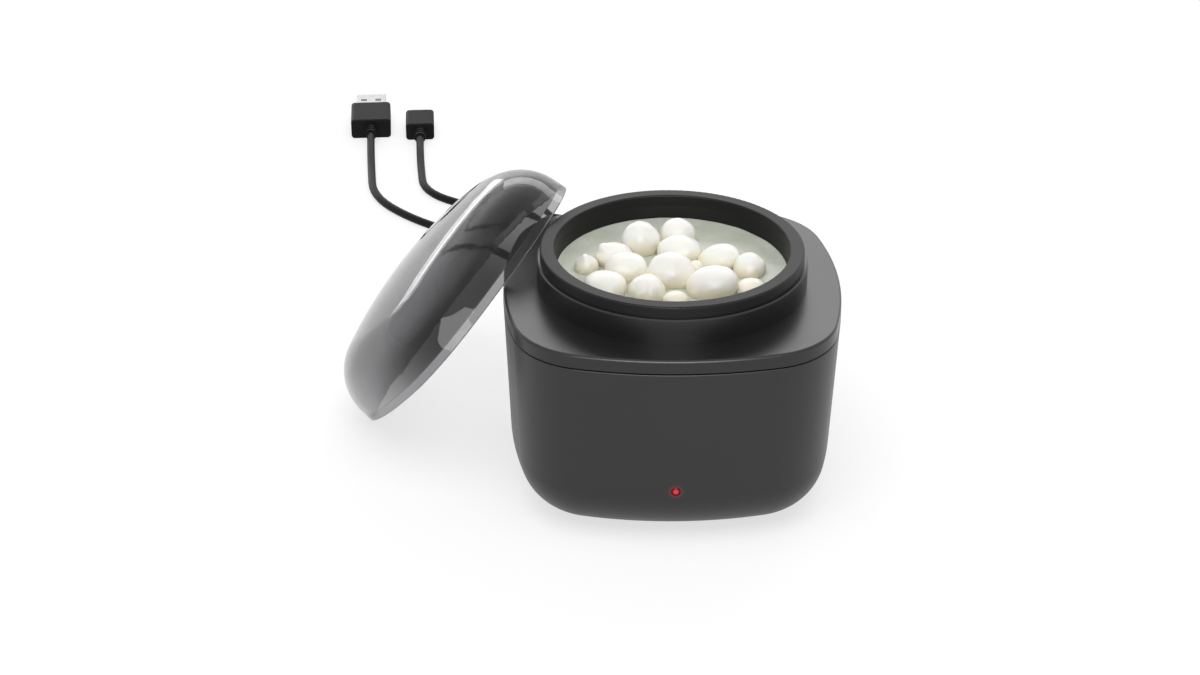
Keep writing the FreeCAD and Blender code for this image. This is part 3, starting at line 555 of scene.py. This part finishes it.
# Lumps of the skin, broad ones and small ones, as pairs of rise and closeness
lumps = [(0.07, 1.2), (0.025, 2.7)]
dice = random.Random(5)
lump_shift = 50
sink = 0.0006
pellets = bmesh.new()
for centre, lift, size, roll, form in beads:
    pellet = bmesh.new()
    bmesh.ops.create_icosphere(pellet, subdivisions=5, radius=1)
    seed = Vector([dice.uniform(-lump_shift, lump_shift) for _ in range(3)])
    for vert in pellet.verts:
        way = vert.co.normalized()
        lumpiness = sum(rise * noise.noise(way * closeness + seed) for rise, closeness in lumps)
        vert.co = way * (1 + lumpiness + bead_relief(form, way))
    pellet.transform(Matrix.Translation((*centre, wax_level + lift))
                     @ Matrix.Rotation(math.radians(roll), 4, "Y") @ Matrix.Diagonal((*size, 1)))
    bmesh.ops.bisect_plane(pellet, geom=list(pellet.verts) + list(pellet.edges) + list(pellet.faces),
                           plane_co=(0, 0, wax_level - sink), plane_no=(0, 0, 1), clear_inner=True)
    bmesh.ops.holes_fill(pellet, edges=[e for e in pellet.edges if e.is_boundary], sides=0)
    part = bpy.data.meshes.new("pellet")
    pellet.to_mesh(part)
    pellet.free()
    pellets.from_mesh(part)
    bpy.data.meshes.remove(part)
finish_piece(pellets, "wax_beads_soft", ivory_wax(), "pot", "wax_bead", "wax_beads")

# Lid: a deep dome moulded in smoky clear plastic, taken off and leant against the deck, with a thin
# stepped rim that locates it round the collar. Its grey is the plastic's smoky tint with painted shade and
# painted reflection: a dark belt above the rim on its upper side, paler at the uppermost tip and at the
# end that stands on the table. Its shape is the solid's own, with merged seams.
lid_axis = Vector(next(joint["axis"] for joint in frame["joints"] if joint["name"] == "lid_lift"))
lid_downhill = (lid_axis * lid_axis.z - Vector((0, 0, 1))).normalized()
lid_solid = frame["nodes"]["lid"].data


def share_along(place, way):
    """How far a place lies along the lid in one direction, from 0 to 1."""
    reaches = [way.dot(vert.co) for vert in lid_solid.vertices]
    return (place.reach(way) - min(reaches)) * (1 / (max(reaches) - min(reaches)))


def smoke_and_painted_shade(height, *tones):
    """Grey of the smoky plastic with painted shade and reflection, from the mouth to the crown, as pairs
    of height and tone.
    """
    blue_share = 1.02
    stops = [(level, (tone, tone, blue_share * tone)) for level, tone in tones]
    return height.node("ValToRGB", {"stops": stops}, {0: height})


def smoky_clear():
    material, shader, place = new_finish("smoky_clear")
    haze = place.grain(scale=90, detail=3)
    height = share_along(place, lid_axis)
    downhill = share_along(place, lid_downhill)
    # The dark belt in these tones is painted shade and painted reflection, not denser plastic.
    tip = smoke_and_painted_shade(height, (0.0, 0.4), (0.1, 0.4), (0.115, 0.16), (0.42, 0.2), (0.6, 0.36), (0.72, 0.44),
                (0.93, 0.6))
    upper = smoke_and_painted_shade(height, (0.0, 0.3), (0.1, 0.3), (0.115, 0.03), (0.42, 0.035), (0.6, 0.24), (0.72, 0.36),
                  (0.93, 0.6))
    lower = smoke_and_painted_shade(height, (0.0, 0.4), (0.1, 0.4), (0.115, 0.5), (0.48, 0.45), (0.72, 0.22), (0.93, 0.13))
    upper_end = downhill.step(0.0, 0.2).mix(tip, upper)
    tint = downhill.step(0.36, 0.92).mix(upper_end, lower)
    # Towards the outline the tint goes to a dark grey: partly the longer path through the wall, partly
    # painted shade along the outline.
    edge = place.node("LayerWeight", {}, {"Blend": 0.5}, "Facing").step(0.45, 0.95)
    place.feed(shader, {
        "Base Color": edge.mix((0.05 * haze).mix(tint, (0.3, 0.3, 0.31)), (0.07, 0.07, 0.072)),
        "Roughness": 0.012 + 0.02 * haze,
        "Transmission Weight": 1.0,
        "IOR": 1.45,
        "Specular Tint": (0.58, 0.58, 0.58, 1),
    })
    return material


seam_width = 1e-6
clear_lid = bmesh.new()
clear_lid.from_mesh(lid_solid)
bmesh.ops.remove_doubles(clear_lid, verts=clear_lid.verts, dist=seam_width)
bmesh.ops.dissolve_degenerate(clear_lid, edges=clear_lid.edges, dist=seam_width)
lid_shell = finish_piece(clear_lid, "lid_seamless", smoky_clear(), "lid", "smoky_plastic", "lid",
                         smooth_angle=30).data
# The solid's stored normals no longer fit the merged mesh
if "custom_normal" in lid_shell.attributes:
    lid_shell.attributes.remove(lid_shell.attributes["custom_normal"])


# Plugs of the lead: grips and strain reliefs are moulded in black PVC straight onto the cord.
# The shells are folded from nickel-plated steel round dark insulators, with gilt contacts in the
# larger plug. A moulded nylon tie holds the coil together.
def moulded_pvc(name, roughness, gloss):
    material, shader, place = new_finish(name)
    skin = place.grain(scale=2600)
    place.feed(shader, {
        "Base Color": skin.mix((0.006, 0.006, 0.0065), (0.012, 0.012, 0.0125)),
        "Roughness": roughness + 0.12 * skin,
        "Normal": skin.bump(depth=0.00002, strength=0.4),
        "Specular IOR Level": gloss,
    })
    return material


dress(moulded_pvc("plug_pvc", roughness=0.46, gloss=0.1),
      "usb_a_overmould", "usb_a_strain_relief", "micro_usb_overmould", "micro_usb_strain_relief")
dress(plated_steel("plug_nickel", (0.46, 0.46, 0.47), roughness=0.2), "usb_a_shell", "micro_usb_shell")
dress(cast_case("plug_insulator", (0.025, 0.025, 0.026), (0.05, 0.05, 0.053), roughness=0.4),
      "usb_a_tongue", "micro_usb_tongue")
dress(cast_case("contact_gold", (0.75, 0.5, 0.16), (0.9, 0.66, 0.28), roughness=0.18, metallic=1.0),
      "usb_a_contacts")
dress(moulded_pvc("tie_nylon", roughness=0.5, gloss=0.4), "cable_tie")

# Lead: a 3 mm round PVC cord between the two plugs, about 0.94 m long. It lies on the table, and
# the length between its ends is wound into a tied coil behind the pot.
cord_radius = 0.0015
on_table = cord_radius
coil_centre = Vector((0.004, 0.098, 0))
coil_heading = math.radians(216)
coil_radius = 0.0204
coil_pitch = 0.0035
low_layer = 0.0024
high_layer = low_layer + coil_pitch
half_turns = 5
points_in_half_turn = 8
swell = 1 / (0.75 + 0.25 * math.cos(math.pi / points_in_half_turn))
lead_in = 0.021
lead_out = 0.003
usb_a_exit = (-0.108223, 0.240012, 0.004)
micro_exit = (-0.088696, 0.238008, 0.0035)


def coil_point(x, y, z):
    """A place given about the coil's own centre and heading."""
    turned = Matrix.Rotation(coil_heading, 3, "Z") @ Vector((x, y, z))
    return tuple(coil_centre + turned)


def half_turn(x0, x1, sense, z0, z1):
    """Control points of one half turn, a little outside it because the curve runs inside them."""
    middle = (x0 + x1) / 2
    reach = (x0 - x1) / 2
    points = []
    for count in range(points_in_half_turn):
        share = (count + 0.5) / points_in_half_turn
        points.append(coil_point(middle + swell * reach * math.cos(math.pi * share),
                                 swell * sense * abs(reach) * math.sin(math.pi * share),
                                 z0 + (z1 - z0) * share))
    return points


route = [usb_a_exit, (-0.107595, 0.230032, 0.004), (-0.1063, 0.213, on_table), (-0.104, 0.188, on_table),
         (-0.088, 0.168, on_table), (-0.066, 0.153, on_table), (-0.046, 0.132, on_table),
         coil_point(coil_radius, -lead_in, low_layer), coil_point(coil_radius, -lead_out, low_layer)]
edge = coil_radius
radius = coil_radius
sense = 1
for count in range(2 * half_turns + 1):
    after = edge - math.copysign(2 * radius, edge)
    start = low_layer if count <= half_turns else high_layer
    end = low_layer if count < half_turns else high_layer
    route += half_turn(edge, after, sense, start, end)
    edge = after
    sense = -sense
    radius += coil_pitch / 2 * (-1 if count < half_turns else 1)
route += [coil_point(edge, sense * lead_out, high_layer), coil_point(edge, sense * lead_in, high_layer),
          (-0.016, 0.158, low_layer), (-0.040, 0.172, on_table), (-0.066, 0.178, on_table),
          (-0.085, 0.192, on_table), (-0.0872, 0.214, on_table), (-0.088190, 0.228020, 0.0035), micro_exit]
line = bpy.data.curves.new("usb_lead", "CURVE")
line.dimensions = "3D"
spline = line.splines.new("NURBS")
spline.points.add(len(route) - 1)
for point, place in zip(spline.points, route):
    point.co = (*place, 1)
spline.order_u = 3
spline.use_endpoint_u = True
spline.resolution_u = 6
line.bevel_depth = cord_radius
line.bevel_resolution = 6
line.use_fill_caps = True
line.materials.append(moulded_pvc("cord_pvc", roughness=0.4, gloss=0.12))
lead = bpy.data.objects.new("usb_lead", line)
bpy.context.scene.collection.objects.link(lead)
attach(lead, "base")
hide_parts("cable_coil", "cable_from_usb_a", "cable_from_micro_usb")

# Studio: a white paper sweep in a white room. The floor keeps the object's soft shadow. It is pale
# to the camera and to reflections near the object, and goes fully white further out, where it
# meets the room's white.
floor_size = 6.0
sweep = bmesh.new()
bmesh.ops.create_grid(sweep, x_segments=1, y_segments=1, size=floor_size / 2)
floor_mesh = bpy.data.meshes.new("floor")
sweep.to_mesh(floor_mesh)
sweep.free()
floor = bpy.data.objects.new("floor", floor_mesh)
bpy.context.scene.collection.objects.link(floor)


def white_to_the_eye(tree):
    """1 on camera, glossy and transmitted rays."""
    path = tree.nodes.new("ShaderNodeLightPath")
    seen = Signal(path.outputs["Is Camera Ray"])
    seen = seen.math("MAXIMUM", seen, Signal(path.outputs["Is Glossy Ray"]))
    return seen.math("MAXIMUM", seen, Signal(path.outputs["Is Transmission Ray"]))


near_white = 0.68
near_radius = 0.6
white_radius = 1.8
paper, paper_shader, spot = new_finish("paper_sweep")
whiteness = near_white + (1 - near_white) * spot.distance((0, 0, 0)).step(near_radius, white_radius)
spot.feed(paper_shader, {
    "Base Color": (0.36, 0.36, 0.36, 1),
    "Roughness": 1.0,
    "Specular IOR Level": 0.0,
    "Emission Color": (white_to_the_eye(paper.node_tree) * whiteness).mix((0, 0, 0), (1, 1, 1)),
    "Emission Strength": 1.0,
})
floor_mesh.materials.append(paper)

fill_light = 0.45
world = bpy.data.worlds.new("studio")
bpy.context.scene.world = world
world.use_nodes = True
sky = world.node_tree.nodes["Background"]
seen = white_to_the_eye(world.node_tree)
seen.feed(sky, {"Color": (1, 1, 1, 1), "Strength": fill_light + (1 - fill_light) * seen})


# Lamps: four soft boxes. The overhead one gives the even light and leaves no reflection, the two
# behind draw the sheen on the deck and the lid, and the front card shows only as a reflection.
def soft_box(name, place, aim, width, height, radiance):
    """A rectangular lamp that the camera doesn't see."""
    lamp = bpy.data.lights.new(name, "AREA")
    lamp.shape = "RECTANGLE"
    lamp.size = width
    lamp.size_y = height
    lamp.energy = radiance * math.pi * width * height
    box = bpy.data.objects.new(name, lamp)
    box.location = place
    box.rotation_mode = "QUATERNION"
    box.rotation_quaternion = (Vector(aim) - Vector(place)).to_track_quat("-Z", "Y")
    box.visible_camera = False
    bpy.context.scene.collection.objects.link(box)
    return box


pot_middle = (-0.02, 0, 0.05)
lid_middle = (-0.075, 0, 0.045)
overhead_box = soft_box("overhead_box", (-0.08, -0.38, 1.16), pot_middle,
                        width=1.0, height=1.0, radiance=2.75)
overhead_box.visible_glossy = False
soft_box("back_box", (0.3, 1.4, 0.92), pot_middle, width=1.6, height=0.5, radiance=2.6)
soft_box("low_back_strip", (-0.79, 1.32, 0.26), lid_middle, width=0.9, height=0.42, radiance=2.4)
front_card = soft_box("front_card", (-0.021, -1.0, 0.54), lid_middle, width=0.74, height=0.8, radiance=6.5)
front_card.visible_diffuse = False

# Camera: at the photograph's place, looking down on the pot from the front. Its lens and the slight
# roll put the pot and the lid where the picture has them.
camera_place = Vector((-0.032263, -0.634591, 0.389541))
camera_aim = Vector((-0.02125, 0, 0.04312))
camera_roll = math.radians(0.2344)
camera_data = bpy.data.cameras.new("camera")
camera_data.sensor_width = 36
camera_data.lens = 71.98
camera = bpy.data.objects.new("camera", camera_data)
camera.location = camera_place
camera.rotation_mode = "QUATERNION"
camera.rotation_quaternion = ((camera_aim - camera_place).to_track_quat("-Z", "Y")
                              @ Quaternion((0, 0, 1), camera_roll))
bpy.context.scene.collection.objects.link(camera)
bpy.context.scene.camera = camera
bpy.context.scene.view_settings.view_transform = "Standard"
